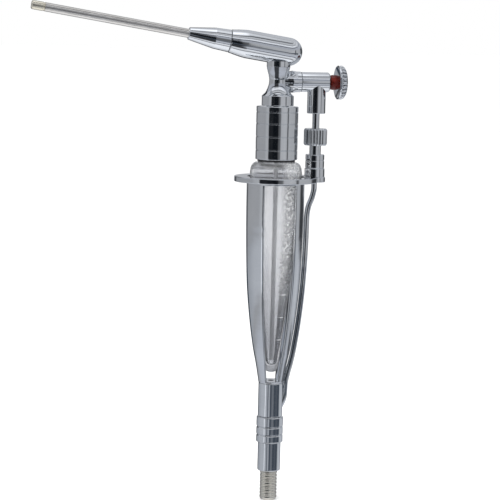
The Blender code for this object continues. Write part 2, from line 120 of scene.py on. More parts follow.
def corner_arc(here, back, ahead, radius):
    """Points round a corner, from its side towards back to its side towards ahead."""
    half = back.angle(ahead) / 2
    reach = min(radius / tan(half), CORNER_SHARE * back.length, CORNER_SHARE * ahead.length)
    start = here + back.normalized() * reach
    end = here + ahead.normalized() * reach
    centre = here + (back.normalized() + ahead.normalized()).normalized() * (reach / cos(half))
    sweep = pi - 2 * half
    arc = []
    for k in range(ARC_STEPS + 1):
        part = k / ARC_STEPS
        from_start = (start - centre) * sin((1 - part) * sweep)
        from_end = (end - centre) * sin(part * sweep)
        arc.append(centre + (from_start + from_end) / sin(sweep))
    return arc


def held(points):
    """Adds points close to each sharp turn, so that smooth shading leaves long straight runs straight."""
    count = len(points)
    closed = points[0].x > 0
    out = []
    for i, here in enumerate(points):
        out.append(here)
        if i == count - 1 and not closed:
            break
        after = points[(i + 1) % count]
        run = after - here
        if run.length < LEAST_RUN:
            continue
        step = run.normalized() * HOLD
        if (i or closed) and turns(points[i - 1], here, after):
            out.append(here + step)
        if (i < count - 2 or closed) and turns(here, after, points[(i + 2) % count]):
            out.append(after - step)
    return out


def turns(before, here, after):
    """Whether an outline turns sharply at here."""
    back = here - before
    ahead = after - here
    return back.length > 0 and ahead.length > 0 and back.angle(ahead) > SHARP_TURN


def flat(*pairs):
    """Outline points that need no rounding."""
    return [Vector(pair) for pair in pairs]


def curve(points, steps=8):
    """Catmull-Rom curve through points."""
    points = flat(*points)
    ends = [2 * points[0] - points[1]] + points + [2 * points[-1] - points[-2]]
    out = []
    for i in range(len(points) - 1):
        p0, p1, p2, p3 = ends[i:i + 4]
        for k in range(steps):
            t = k / steps
            out.append(0.5 * (2 * p1 + (p2 - p0) * t + (2 * p0 - 5 * p1 + 4 * p2 - p3) * t * t
                              + (3 * p1 - p0 - 3 * p2 + p3) * t ** 3))
    return out + [points[-1]]


def grooved(radius, top, bottom, grooves, width, depth):
    """Outer side of a sleeve with vee grooves at these heights, from top to bottom."""
    edge, lip = 0.35, 0.08
    half_floor = 0.12
    out = [(radius, top, edge)]
    for height in grooves:
        out += [(radius, height + width / 2, lip), (radius - depth, height + half_floor),
                (radius - depth, height - half_floor), (radius, height - width / 2, lip)]
    return out + [(radius, bottom, edge)]


# ---------------------------------------------------------------- meshes

SHARP_EDGE = 38  # degrees between two faces, from which their edge is drawn sharp
POLE = 0.001  # a smaller radius counts as on the axis


def mesh_object(name, bm, sharp=SHARP_EDGE):
    """Object made from a bmesh, with smooth shading between its sharp edges."""
    bmesh.ops.recalc_face_normals(bm, faces=bm.faces)
    mesh = bpy.data.meshes.new(name)
    bm.to_mesh(mesh)
    bm.free()
    mesh.shade_smooth()
    mesh.set_sharp_from_angle(angle=radians(sharp))
    obj = bpy.data.objects.new(name, mesh)
    bpy.context.scene.collection.objects.link(obj)
    return obj


def around(radius, angle, height):
    """Point at an angle round an axis, given in millimetres and returned in metres."""
    return Vector((radius * cos(angle), radius * sin(angle), height)) * MM


def bridge(bm, one, two):
    """Faces between two rings. Either may be a single pole, and two poles have nothing between them."""
    if len(one) == 1 and len(two) == 1:
        return
    count = max(len(one), len(two))
    for k in range(count):
        n = (k + 1) % count
        if len(one) == 1:
            bm.faces.new((one[0], two[n], two[k]))
        elif len(two) == 1:
            bm.faces.new((one[k], one[n], two[0]))
        else:
            bm.faces.new((one[k], one[n], two[n], two[k]))


def lathe(name, outline, place=HANDLE, steps=144, shape=None, sharp=SHARP_EDGE):
    """Turned mesh. A point on the axis becomes a pole, and shape(radius, height, angle) changes radii."""
    bm = bmesh.new()
    rings = []
    for radius, height in outline:
        if radius < POLE:
            rings.append([bm.verts.new(place @ Vector((0, 0, height * MM)))])
            continue
        ring = []
        for k in range(steps):
            angle = 2 * pi * k / steps
            r = shape(radius, height, angle) if shape else radius
            ring.append(bm.verts.new(place @ around(r, angle, height)))
        rings.append(ring)
    for one, two in zip(rings, rings[1:]):
        bridge(bm, one, two)
    if len(rings[0]) > 1:
        bridge(bm, rings[-1], rings[0])
    return mesh_object(name, bm, sharp)


def sweep_flat(name, path, radius):
    """Round tube along a path that stays in the XZ plane."""
    sides = 40
    bm = bmesh.new()
    rings = []
    for i, point in enumerate(path):
        tangent = (path[min(i + 1, len(path) - 1)] - path[max(i - 1, 0)]).normalized()
        across = Vector((tangent.y, 0, -tangent.x))
        centre = Vector((point.x, 0, point.y))
        ring = []
        for k in range(sides):
            angle = 2 * pi * k / sides
            out = across * cos(angle) + Vector((0, 1, 0)) * sin(angle)
            ring.append(bm.verts.new((centre + radius * out) * MM))
        rings.append(ring)
    for one, two in zip(rings, rings[1:]):
        bridge(bm, one, two)
    bm.faces.new(rings[0])
    bm.faces.new(rings[-1])
    return mesh_object(name, bm)


def dress(obj, node, material):
    """The piece rides on the body of the CAD node that it stands for, hides that node, and takes the material it
    is given.
    """
    obj.data.materials.append(material)
    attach(obj, BODY[node])
    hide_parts(node)


def turned(node, outline, material, place=HANDLE, **settings):
    """Turned piece that stands for a CAD node."""
    dress(lathe(node + "_fine", outline, place, **settings), node, material)


# ---------------------------------------------------------------- node trees

RELIEF = 0.0001  # how high a bump of full strength stands, in metres


def rgba(colour):
    """Colour with full opacity."""
    return tuple(colour) + (1.0,)


class Graph:
    """A node tree with short calls that add nodes and link them."""

    def __init__(self, tree):
        self.tree = tree

    def link(self, output, socket):
        self.tree.links.new(output, socket)

    def add(self, kind, inputs=None, **settings):
        node = self.tree.nodes.new(kind)
        for key, value in settings.items():
            setattr(node, key, value)
        for key, value in (inputs or {}).items():
            if isinstance(value, bpy.types.NodeSocket):
                self.link(value, node.inputs[key])
            else:
                node.inputs[key].default_value = value
        return node

    def math(self, operation, a, b=0.0):
        return self.add("ShaderNodeMath", {0: a, 1: b}, operation=operation).outputs[0]

    def ramp(self, factor, stops):
        """Colour ramp through stops, which are (position, colour)."""
        node = self.add("ShaderNodeValToRGB", {0: factor})
        elements = node.color_ramp.elements
        while len(elements) > 1:
            elements.remove(elements[-1])
        for i, (position, colour) in enumerate(stops):
            element = elements[0] if i == 0 else elements.new(position)
            element.position = position
            element.color = rgba(colour)
        return node.outputs[0]

    def noise(self, vector, scale, detail=3.0, roughness=0.5):
        inputs = {"Vector": vector, "Scale": scale, "Detail": detail, "Roughness": roughness}
        return self.add("ShaderNodeTexNoise", inputs).outputs[0]

    def spread(self, value, low_end, high_end, start=0.3, end=0.7, smooth="LINEAR"):
        """Number that goes from low_end to high_end while value goes from start to end."""
        node = self.add("ShaderNodeMapRange", {0: value, 1: start, 2: end, 3: low_end, 4: high_end})
        node.interpolation_type = smooth
        return node.outputs[0]

    def mix(self, factor, a, b, blend="MIX"):
        node = self.add("ShaderNodeMix", {0: factor, 6: a, 7: b}, data_type="RGBA", blend_type=blend)
        return node.outputs[2]

    def bump(self, height, strength):
        inputs = {"Strength": strength, "Distance": RELIEF, "Height": height}
        return self.add("ShaderNodeBump", inputs).outputs[0]

    def split(self, vector):
        """The three parts of a vector."""
        return self.add("ShaderNodeSeparateXYZ", {0: vector}).outputs

    def stretched(self, place, scale=(1, 1, 1)):
        """Object coordinates on a piece's own axes, stretched by scale."""
        coordinates = self.add("ShaderNodeTexCoord").outputs["Object"]
        turn = place.to_3x3().inverted().to_euler()
        own = self.add("ShaderNodeMapping", {"Vector": coordinates, "Rotation": turn}).outputs[0]
        return self.add("ShaderNodeMapping", {"Vector": own, "Scale": scale}).outputs[0]


def new_material(name):
    """A material, its graph and its shader."""
    material = bpy.data.materials.new(name)
    material.use_nodes = True
    return material, Graph(material.node_tree), material.node_tree.nodes["Principled BSDF"]


# ---------------------------------------------------------------- materials

# Scales of the noise patterns
HAZE_SCALE = 210
SMUDGE_SCALE = 55
PIT_SCALE = 1900
WAVE_SCALE = 140
MOTTLE_SCALE = 320
STREAK_SCALE = 620
CLOUD_SCALE = 150
SPECKLE_SCALE = 900

TOOL_LINE_STRETCH = 30  # how much longer than wide the tool lines are
# Painted shade: the dark grey that the hollows between the button's scallops are darkened towards
SHADE_GREY = (0.30, 0.31, 0.33)


def metal(name, place, colour, stain, smooth, dull, lines, depth, along=False, pits=0.0, waves=0.0,
          metallic=1.0, painted_shade=None):
    """Metal whose polish, colour and fine tool lines vary. Lines run round the axis, or along it."""
    material, graph, bsdf = new_material(name)
    squeeze = TOOL_LINE_STRETCH
    even = graph.stretched(place)
    lined = graph.stretched(place, (squeeze, squeeze, 1) if along else (1, 1, squeeze))
    haze = graph.noise(even, HAZE_SCALE, 5, 0.6)
    smudge = graph.noise(even, SMUDGE_SCALE, 2, 0.5)
    grain = graph.noise(lined, lines, 3, 0.65)
    tint = graph.mix(graph.spread(smudge, 0, 1), rgba(stain), rgba(colour))
    tint = graph.mix(graph.spread(grain, 0, 0.35), tint, rgba([part * 0.82 for part in colour]))
    # painted shade: where the mask is high, the colour darkens towards a grey that stands in for shade in hollows
    if painted_shade:
        tint = graph.mix(painted_shade(graph), tint, rgba(SHADE_GREY))
    graph.link(tint, bsdf.inputs["Base Color"])
    bsdf.inputs["Metallic"].default_value = metallic
    rough = graph.math("ADD", graph.spread(haze, smooth, dull), graph.spread(grain, 0, dull * 0.4))
    graph.link(rough, bsdf.inputs["Roughness"])
    relief = graph.math("ADD", grain, graph.math("MULTIPLY", graph.noise(even, PIT_SCALE, 2), pits))
    relief = graph.math("ADD", relief, graph.math("MULTIPLY", graph.noise(even, WAVE_SCALE, 1), waves))
    graph.link(graph.bump(relief, depth), bsdf.inputs["Normal"])
    return material


SCALLOPS = 24  # round the button's rim
SCALLOP_ROOT = 6.6  # the radius from which they are cut
SCALLOP_REAR = low("push_button").x + 0.9  # where they start, along the valve


def scallop_shade(graph):
    """How much painted shade darkens the hollows between the button's scallops."""
    x, y, z = graph.split(graph.stretched(HANDLE))
    over = graph.math("SUBTRACT", z, VALVE_HEIGHT)
    angle = graph.math("MULTIPLY", graph.math("ARCTAN2", y, over), SCALLOPS / 2)
    wave = graph.math("ABSOLUTE", graph.math("COSINE", angle))
    squares = graph.math("ADD", graph.math("MULTIPLY", over, over), graph.math("MULTIPLY", y, y))
    radius = graph.math("SQRT", squares)
    rim = graph.math("MULTIPLY", graph.spread(radius, 0, 1, SCALLOP_ROOT * MM, (SCALLOP_ROOT + 0.5) * MM),
                     graph.spread(x, 0, 1, SCALLOP_REAR * MM, (SCALLOP_REAR + 0.4) * MM))
    return graph.math("MULTIPLY", rim, graph.spread(wave, 1, 0, 0.25, 0.75))


def plastic(name, colour, dark, rough, grain, depth, coat=0.0, shine=0.5):
    """Moulded or cut rubber or plastic with mottling, uneven gloss and a fine surface."""
    material, graph, bsdf = new_material(name)
    even = graph.stretched(HANDLE)
    mottle = graph.noise(even, MOTTLE_SCALE, 4, 0.6)
    fine = graph.noise(even, grain, 4, 0.6)
    graph.link(graph.mix(graph.spread(mottle, 0, 1), rgba(dark), rgba(colour)), bsdf.inputs["Base Color"])
    graph.link(graph.spread(fine, rough * 0.8, rough * 1.25), bsdf.inputs["Roughness"])
    bsdf.inputs["Specular IOR Level"].default_value = shine
    bsdf.inputs["Coat Weight"].default_value = coat
    bsdf.inputs["Coat Roughness"].default_value = 0.05
    graph.link(graph.bump(fine, depth), bsdf.inputs["Normal"])
    return material


# The bottle's looks. What has two limits fades between them
MARK_HEIGHTS = (100.7, 89.6, 78.6)  # of the painted marks
MARK_ANGLE = radians(34)  # of the marks' middle, from the front towards the push button
MARK_EDGES = (0.00014, 0.00022)  # metres above and below a mark's middle
MARK_ENDS = (0.17, 0.19)  # radians from a mark's middle
WORN_SIDES = (0.25, 0.62)  # radians from the marks' middle
WORN_FOOT = (0.088, 0.112)  # height in metres
# Painted shade: between these heights the glass darkens towards its foot
SHADE_TOP = (0.080, 0.125)  # height in metres
GLASS_DARK, GLASS_PALE = (0.76, 0.77, 0.80), (0.92, 0.925, 0.935)
GLASS_SHADED = (0.58, 0.59, 0.62)
PAINT = (0.86, 0.87, 0.88)


def painted_marks(graph, height, beside):
    """Where the short lines of paint round the bottle are."""
    paint = 0.0
    for mark in MARK_HEIGHTS:
        off = graph.math("ABSOLUTE", graph.math("SUBTRACT", height, mark * MM))
        paint = graph.math("MAXIMUM", paint, graph.spread(off, 1, 0, *MARK_EDGES))
    return graph.math("MULTIPLY", paint, graph.spread(beside, 1, 0, *MARK_ENDS))


def glass(name):
    """Moulded glass with drawn streaks, a soft frost, painted shade that darkens it towards its foot, a worn
    speckled patch and short painted marks.
    """
    material, graph, bsdf = new_material(name)
    even = graph.stretched(HANDLE)
    drawn = graph.stretched(HANDLE, (1, 1, 0.05))
    streaks = graph.noise(drawn, STREAK_SCALE, 4, 0.65)
    clouds = graph.noise(even, CLOUD_SCALE, 3, 0.6)
    tint = graph.mix(graph.spread(streaks, 0, 1), rgba(GLASS_DARK), rgba(GLASS_PALE))
    x, y, height = graph.split(even)
    # painted shade: the glass is darker towards the bottle's foot
    tint = graph.mix(graph.spread(height, 0.8, 0, *SHADE_TOP), tint, rgba(GLASS_SHADED))
    angle = graph.math("ARCTAN2", x, graph.math("MULTIPLY", y, -1.0))
    beside = graph.math("ABSOLUTE", graph.math("SUBTRACT", angle, MARK_ANGLE))
    paint = painted_marks(graph, height, beside)
    worn = graph.math("MULTIPLY", graph.spread(beside, 1, 0, *WORN_SIDES, "SMOOTHSTEP"),
                      graph.spread(height, 0, 1, *WORN_FOOT, "SMOOTHSTEP"))
    dots = graph.spread(graph.noise(even, SPECKLE_SCALE, 3, 0.6), 0, 1, 0.52, 0.60)
    dots = graph.spread(dots, 0.25, 0.75, 0, 1)
    speckle = graph.math("MULTIPLY", dots, graph.spread(worn, 0.10, 0.8, 0, 1))
    cover = graph.math("MAXIMUM", paint, speckle)
    graph.link(graph.mix(cover, tint, rgba(PAINT)), bsdf.inputs["Base Color"])
    frost = graph.math("ADD", graph.spread(clouds, 0.08, 0.20), graph.math("MULTIPLY", worn, 0.10))
    graph.link(frost, bsdf.inputs["Roughness"])
    graph.link(graph.spread(cover, 0.96, 0.0, 0, 1), bsdf.inputs["Transmission Weight"])
    bsdf.inputs["IOR"].default_value = 1.5
    graph.link(graph.bump(graph.math("ADD", streaks, clouds), 0.55), bsdf.inputs["Normal"])
    return material


CHROME = {"colour": (0.87, 0.885, 0.90), "stain": (0.78, 0.80, 0.82), "smooth": 0.03, "dull": 0.075,
          "lines": 170, "depth": 0.035, "waves": 16}
chrome_handle = metal("chrome_handle", HANDLE, **CHROME)
chrome_head = metal("chrome_head", HEAD, **CHROME)
chrome_valve = metal("chrome_valve", VALVE, **CHROME)
# the button's chrome carries painted shade in the hollows between its scallops
chrome_button = metal("chrome_button", VALVE, **CHROME, painted_shade=scallop_shade)
nickel_tail = metal("nickel_tail", HANDLE, (0.88, 0.85, 0.76), (0.74, 0.70, 0.60),
                    smooth=0.10, dull=0.20, lines=150, depth=0.06, pits=0.3)
nickel_tube = metal("nickel_tube", HEAD, (0.84, 0.81, 0.77), (0.70, 0.67, 0.62),
                    smooth=0.05, dull=0.10, lines=260, depth=0.12, along=True)
brass = metal("brass", HEAD, (0.97, 0.92, 0.80), (0.86, 0.79, 0.62),
              smooth=0.12, dull=0.24, lines=160, depth=0.08, pits=0.3)
steel = metal("steel", HANDLE, (0.80, 0.80, 0.80), (0.72, 0.72, 0.72),
              smooth=0.30, dull=0.42, lines=160, depth=0.08)
satin_steel = metal("satin_steel", HANDLE, (0.95, 0.95, 0.96), (0.88, 0.88, 0.90),
                    smooth=0.52, dull=0.64, lines=160, depth=0.05, metallic=0.2)
rubber = plastic("rubber", (0.030, 0.030, 0.034), (0.015, 0.015, 0.017), rough=0.6, grain=2500, depth=0.25)
seal = plastic("seal", (0.80, 0.80, 0.76), (0.68, 0.67, 0.62), rough=0.45, grain=1500, depth=0.12)
red = plastic("red", (0.13, 0.008, 0.003), (0.04, 0.002, 0.001), rough=0.20, grain=900, depth=0.06,
              coat=0.10, shine=0.3)
bottle_glass = glass("bottle_glass")

BY_SLOT = {"chrome": chrome_handle, "brushed_nickel": nickel_tail, "pale_brass": brass, "steel": steel,
           "bottle_glass": bottle_glass, "black_rubber": rubber, "white_seal": seal, "red_ring": red}


# ---------------------------------------------------------------- hose end

def build_coupling():
    """Sleeve with two grooves."""
    bottom, top = span("coupling_sleeve")
    bore = 4.8
    grooves = [top - 4.8, top - 8.7]
    outline = grooved(high("coupling_sleeve").x, top, bottom, grooves, width=0.9, depth=0.35)
    outline += [(bore, bottom), (bore, top)]
    turned("coupling_sleeve", rounded(outline), chrome_handle)


def build_hose_sleeve():
    """Plain sleeve with a spigot that turns inside the coupling, and a socket for the hose tail."""
    radius, bottom = high("hose_sleeve").x, low("hose_sleeve").z
    shoulder, spigot_top, socket_top = 28.2, 34.0, 26.3
    spigot, socket, bore = 4.5, 3.3, 2.2
    outline = [(spigot, spigot_top), (spigot, shoulder), (radius, shoulder, 0.2), (radius, bottom, 0.5),
               (socket, bottom), (socket, socket_top), (bore, socket_top), (bore, spigot_top)]
    turned("hose_sleeve", rounded(outline), chrome_handle)


def build_tail():
    """Hose tail whose ribs are round rings, each with a fine step under it."""
    ribs, rib_steps = 8, 8
    crest, tail_top = high("hose_tail").x, high("hose_tail").z
    root = crest - 0.45
    top = low("hose_sleeve").z - 0.2
    spigot, bore = 3.0, 0.85
    pitch = (top - 0.35) / ribs
    outline = [(spigot, tail_top), (spigot, top), (root, top)]
    for i in range(ribs):
        start = top - pitch * i
        for k in range(1, rib_steps + 1):
            part = k / rib_steps
            swell = sin(pi * min(part / 0.86, 1)) ** 0.6
            outline.append((root + (crest - root) * swell, start - pitch * part))
    outline += [(root - 0.25, 0.0, 0.15), (bore, 0.0, 0.1), (bore, tail_top)]
    turned("hose_tail", rounded(outline), nickel_tail, steps=96, sharp=60)


# ---------------------------------------------------------------- holder

# Outer side of the holder, from its foot to the flange
SHELL = ((6.0, 57.5), (6.3, 59.5), (7.6, 67), (9.2, 75), (11.0, 87.4), (12.4, 101), (13.1, 112),
         (13.6, 126), (13.85, 140), (13.9, 154.3))
SHELL_CURVE = curve(SHELL, 12)
WALL = 1.0
WINDOW_HALF = radians(35)  # half the angle that a window takes
WINDOW_LOW, WINDOW_HIGH = 58.3, 153.4
EDGE = 0.4  # rounding of the windows' outer edges
EDGE_STEPS = 5  # faces in that rounding
ROWS = 90  # faces up a window
RIB_FACES = 36  # faces across the wall between the windows, without the roundings
GAP_FACES = 24  # faces that would fill a window

# How far the columns of vertices stand beside the nearest window, along the surface, once round the shell
EDGE_PLACES = [EDGE * (1 - cos(pi / 2 * k / EDGE_STEPS)) for k in range(EDGE_STEPS + 1)]
BESIDE = (EDGE_PLACES + [EDGE] * (RIB_FACES - 1) + EDGE_PLACES[::-1] + [0.0] * (GAP_FACES - 1)) * 2
COLUMNS = len(BESIDE)
IN_GAP = [j % (COLUMNS // 2) >= COLUMNS // 2 - GAP_FACES for j in range(COLUMNS)]


def shell_radius(height):
    """Outer radius of the holder at a height, on the smooth curve through SHELL."""
    one, two = next(pair for pair in zip(SHELL_CURVE, SHELL_CURVE[1:]) if pair[1].y >= height)
    return one.lerp(two, (height - one.y) / (two.y - one.y)).x


def shell_angles(radius):
    """Angles of the columns on a ring: a wall and a window, and again for the other side."""
    edge = pi / 2 - WINDOW_HALF
    near = [place / radius for place in EDGE_PLACES]
    inside = edge - near[-1]
    angles = [angle - edge for angle in near]
    angles += [inside * (2 * k / RIB_FACES - 1) for k in range(1, RIB_FACES)]
    angles += [edge - angle for angle in reversed(near)]
    angles += [edge + (pi - 2 * edge) * k / GAP_FACES for k in range(1, GAP_FACES)]
    return angles + [angle + pi for angle in angles]


def shell_ring(bm, radius, height, outside=False):
    """Ring of vertices. On the shell's outside it sinks at the windows' edges, to round them."""
    over = max(0, WINDOW_LOW - height, height - WINDOW_HIGH)
    ring = []
    for angle, beside in zip(shell_angles(radius), BESIDE):
        r = radius
        if outside:
            r -= EDGE - sqrt(EDGE ** 2 - max(0, EDGE - hypot(beside, over)) ** 2)
        ring.append(bm.verts.new(around(r, angle, height)))
    return ring


def close_windows(bm, outside, inside):
    """Faces through the wall at the foot, the head and the two sides of each window."""
    for j in range(COLUMNS):
        n = (j + 1) % COLUMNS
        if IN_GAP[j]:
            for out, back in ((outside[0], inside[0]), (outside[-1], inside[-1])):
                bm.faces.new((out[j], out[n], back[n], back[j]))
        if IN_GAP[j] != IN_GAP[j - 1]:
            for k in range(ROWS):
                bm.faces.new((outside[k][j], outside[k + 1][j], inside[k + 1][j], inside[k][j]))


def build_shell():
    """Holder turned as a grid, without the faces in its two windows."""
    heights = [WINDOW_LOW + (WINDOW_HIGH - WINDOW_LOW) * k / ROWS for k in range(ROWS + 1)]
    below = [WINDOW_LOW - place for place in reversed(EDGE_PLACES[1:])]
    above = [WINDOW_HIGH + place for place in EDGE_PLACES[1:]]
    top = low("hanger_flange").z + 0.1
    bore, rim = 1.5, SHELL[-1][0]
    foot = ((bore, 52.5), (4.3, 52.5), (4.3, 57.4), (5.9, 57.4), (6.0, 57.6))
    bm = bmesh.new()
    grid = [shell_ring(bm, radius, height) for radius, height in foot]
    grid += [shell_ring(bm, shell_radius(height), height, True) for height in below + heights + above]
    grid += [shell_ring(bm, rim, top), shell_ring(bm, rim - WALL, top)]
    grid += [shell_ring(bm, shell_radius(height) - WALL, height) for height in reversed(heights)]
    grid.append(shell_ring(bm, bore, WINDOW_LOW))

    first_out = len(foot) + EDGE_STEPS
    last_in = len(grid) - 2
    first_in = last_in - ROWS
    for i, ring in enumerate(grid):
        after = grid[(i + 1) % len(grid)]
        windowed = first_out <= i < first_out + ROWS or first_in <= i < last_in
        for j in range(COLUMNS):
            n = (j + 1) % COLUMNS
            if not (windowed and IN_GAP[j]):
                bm.faces.new((ring[j], ring[n], after[n], after[j]))
    close_windows(bm, grid[first_out:first_out + ROWS + 1], grid[first_in:last_in + 1][::-1])
    loose = [vert for vert in bm.verts if not vert.link_faces]
    bmesh.ops.delete(bm, geom=loose, context="VERTS")
    dress(mesh_object("holder_shell_fine", bm), "holder_shell", chrome_handle)


def build_flange():
    """Thin disc with a lobe under the union, and a counterbore for the seat ring."""
    bottom, top = span("hanger_flange")
    radius = high("hanger_flange").y
    lobe = high("hanger_flange").x - PIPE_X
    rim_width = 2
    bore, counterbore, ledge = 12.9, 13.7, 155.6

    def lobed(r, height, angle):
        if r < radius - rim_width:
            return r
        side = PIPE_X * sin(angle)
        if abs(side) >= lobe or cos(angle) < 0:
            return r
        reach = PIPE_X * cos(angle) + sqrt(lobe ** 2 - side ** 2)
        return r + max(0, reach - radius)

    outline = [(bore, bottom), (radius, bottom, 0.35), (radius, top, 0.35), (counterbore, top, 0.12),
               (counterbore, ledge), (bore, ledge)]
    turned("hanger_flange", rounded(outline), chrome_handle, steps=288, shape=lobed)


def build_seat_ring():
    bottom, top = span("seat_ring")
    bore, radius = 12.45, 13.5
    outline = [(bore, bottom), (radius, bottom), (radius, top, 0.25), (bore, top, 0.25)]
    turned("seat_ring", rounded(outline), rubber)


def build_stem():
    """Tube with a thinner foot, for the coupling's thread."""
    bottom, top = span("stem")
    radius = high("stem").y
    bore, foot, shoulder = 2.2, 4.5, 41.0
    outline = [(bore, top), (radius, top, 0.3), (radius, shoulder, 0.3), (foot, shoulder), (foot, bottom),
               (bore, bottom)]
    turned("stem", rounded(outline), chrome_handle)


def build_air_tube():
    """Air tube that leaves the stem, follows the holder's side and swings out to the union."""
    radius = (high("air_tube").y - low("air_tube").y) / 2
    clear = 0.5  # between the tube and the holder's side
    path = [(4.2, 44.9), (5.4, 46.6), (6.35, 48.8), (6.85, 51.2), (7.0, 54.0), (7.2, 57.5), (8.1, 61.8)]
    path += [(shell_radius(height) + radius + clear, height) for height in (67, 75, 87, 101, 114, 126)]
    path += [(15.55, 133), (15.7, 138.5), (16.4, 142.9), (17.9, 146.9), (PIPE_X - 0.1, 150.6),
             (PIPE_X, 153.6), (PIPE_X, high("air_tube").z)]
    dress(sweep_flat("air_tube_fine", curve(path, 10), radius), "air_tube", chrome_handle)


def build_union_fitting():
    """Fitting with a thread, a relief below it, a body with a thin line round it and a wider base."""
    top = high("union_fitting").z
    thread, relief, body, base = 3.7, 2.77, 4.54, 4.83
    line, base_bottom = 164.9, 157.2
    outline = [(0, top), (3.3, top, 0.1), (thread, top - 0.4), (thread, 172.6), (relief, 172.0),
               (relief, 167.8), (4.4, 167.8, 0.2), (body, 167.4), (body, line + 0.4), (4.35, line + 0.2),
               (4.35, line), (body, line - 0.2), (body, 161.5, 0.1), (4.3, 161.3), (base, 161.0, 0.15),
               (base, base_bottom), (0, base_bottom)]
    turned("union_fitting", rounded(outline), chrome_handle, PIPE)


def build_union_nut():
    """Nut with a straight knurl that fades out at both chamfers."""
    bottom, top = span("union_nut")
    radius = high("union_nut").y
    ribs, chamfer, knurl_depth = 22, 0.7, 0.42
    hole, bore, roof = 2.0, 4.1, top - 2.3

    def knurl(r, height, angle):
        if r < radius - 0.8:
            return r
        inset = min(1, (top - height) / chamfer, (height - bottom) / chamfer)
        return r - knurl_depth * inset * (0.5 + 0.5 * cos(ribs * angle)) ** 2

    outline = [(hole, top), (radius - 0.5, top, 0.1), (radius, top - chamfer, 0.2),
               (radius, bottom + chamfer, 0.2), (radius - 0.5, bottom, 0.1), (bore, bottom), (bore, roof),
               (hole, roof)]
    turned("union_nut", rounded(outline), chrome_handle, PIPE, steps=ribs * 12, shape=knurl, sharp=60)


def build_down_pipe():
    bottom, top = span("down_pipe")
    bore, radius = 1.0, high("down_pipe").y
    outline = [(bore, top), (radius, top), (radius, bottom), (bore, bottom)]
    turned("down_pipe", rounded(outline), chrome_handle, PIPE, steps=64)


# ---------------------------------------------------------------- bottle and collar

def build_bottle():
    """Thick-walled glass cone with a round shoulder and a plain mouth."""
    foot, top = span("glass_bottle")
    widest = high("glass_bottle").x
    mouth, rim = 7.0, 8.55
    side = curve([(widest, 158.9), (widest - 0.3, 155.0), (widest - 0.36, 148), (12.15, 138), (11.4, 128),
                  (9.75, 116), (8.0, 105), (6.8, 95), (5.7, 85), (4.75, 77), (3.9, 69), (3.5, 66)], 6)
    foot_curve = curve([(3.5, 66), (3.1, 64.2), (2.4, 63.1), (1.3, foot + 0.1), (0, foot)], 6)
    shoulder = curve([(8.75, 164.0), (10.2, 163.75), (11.3, 162.9), (12.1, 161.4), (widest, 158.9)], 6)
    inside = curve([(0, 66.0), (1.2, 66.4), (1.9, 68), (2.3, 72), (3.7, 85), (5.8, 105), (9.7, 128),
                    (10.6, 138), (10.8, 148), (11.0, 158.6), (10.4, 161.4), (8.6, 162.6),
                    (mouth, 163.4)], 6)
    outline = flat((mouth, top), (rim - 0.2, top), (rim, top - 0.3), (rim, 164.3))
    outline += shoulder + side[1:] + foot_curve[1:] + inside
    turned("glass_bottle", held(outline), bottle_glass, steps=160)


def build_collar():
    """Sleeve with four fine grooves and an inner shelf that holds it on the neck."""
    bottom, top = span("bottle_collar")
    bore, hole, shelf = 9.1, 5.5, 184.0
    grooves = [top - 2.7, top - 8.2, top - 14.4, top - 20.8]
    outline = grooved(high("bottle_collar").y, top, bottom, grooves, width=0.6, depth=0.2)
    outline += [(bore, bottom), (bore, shelf), (hole, shelf), (hole, top)]
    turned("bottle_collar", rounded(outline), chrome_handle, steps=192)


def build_shoulder_ring():
    bottom, top = span("shoulder_ring")
    bore, radius = 8.75, high("shoulder_ring").y
    outline = [(bore, top), (radius, top, 0.1), (radius, bottom, 0.1), (bore, bottom)]
    turned("shoulder_ring", rounded(outline), rubber)


def build_dip_tube():
    bottom, top = span("dip_tube")
    bore, radius = 0.6, high("dip_tube").y
    outline = [(bore, top), (radius, top), (radius, bottom), (bore, bottom)]
    turned("dip_tube", rounded(outline), satin_steel, steps=48)


# ---------------------------------------------------------------- head

def build_neck():
    """Base ring, and a waist that flares into the barrel."""
    spigot, base = 5.2, 7.67
    spigot_low, base_low, neck_top = 183.8, 190.9, 212.0
    waist = curve([(6.95, 196.2), (6.2, 196.9), (5.35, 198.4), (4.55, 200.7), (4.3, 203.0), (4.6, 205.2),
                   (5.2, 207.4), (5.65, 209.4)])
    outline = flat((0, spigot_low), (spigot, spigot_low), (spigot, base_low), (7.5, base_low),
                   (base, base_low + 0.2), (base, 195.4), (7.6, 195.6))
    outline += waist + flat((5.65, neck_top), (0, neck_top))
    turned("neck", held(outline), chrome_handle)


def build_boss():
    """Boss of the neck, that carries the valve and is bored for it."""
    airway, socket = 1.4, 3.5
    start, socket_floor, end = 0.8, 5.6, 10.75
    boss = curve([(2.6, start), (3.4, 2.6), (4.6, 4.6), (5.2, 6.4), (5.15, 7.6), (4.9, 8.8)])
    outline = flat((airway, start)) + boss
    outline += flat((4.9, 10.6), (4.75, end), (socket, end), (socket, socket_floor),
                    (airway, socket_floor))
    dress(lathe("neck_boss_fine", held(outline), VALVE), "neck", chrome_valve)


SEAM = 24.2  # where the nozzle nut meets the barrel, along the head's own axis
HEAD_RADIUS = 6.7
BALL_CENTRE = -4.65
TUBE_RADIUS = 2.13
TUBE_END = 112.7


def build_barrel():
    """Barrel with a ball end, that tapers towards the nozzle nut."""
    ball = []
    for degrees in range(0, 91, 5):
        angle = radians(degrees)
        ball.append(Vector((HEAD_RADIUS * sin(angle), BALL_CENTRE - HEAD_RADIUS * cos(angle))))
    taper = curve([(HEAD_RADIUS, 15.0), (6.62, 16.8), (6.3, 19.4), (5.85, 22.0), (5.5, SEAM - 0.2)], 6)
    outline = ball + taper + flat((5.35, SEAM), (0, SEAM))
    turned("head_barrel", held(outline), chrome_head, HEAD)


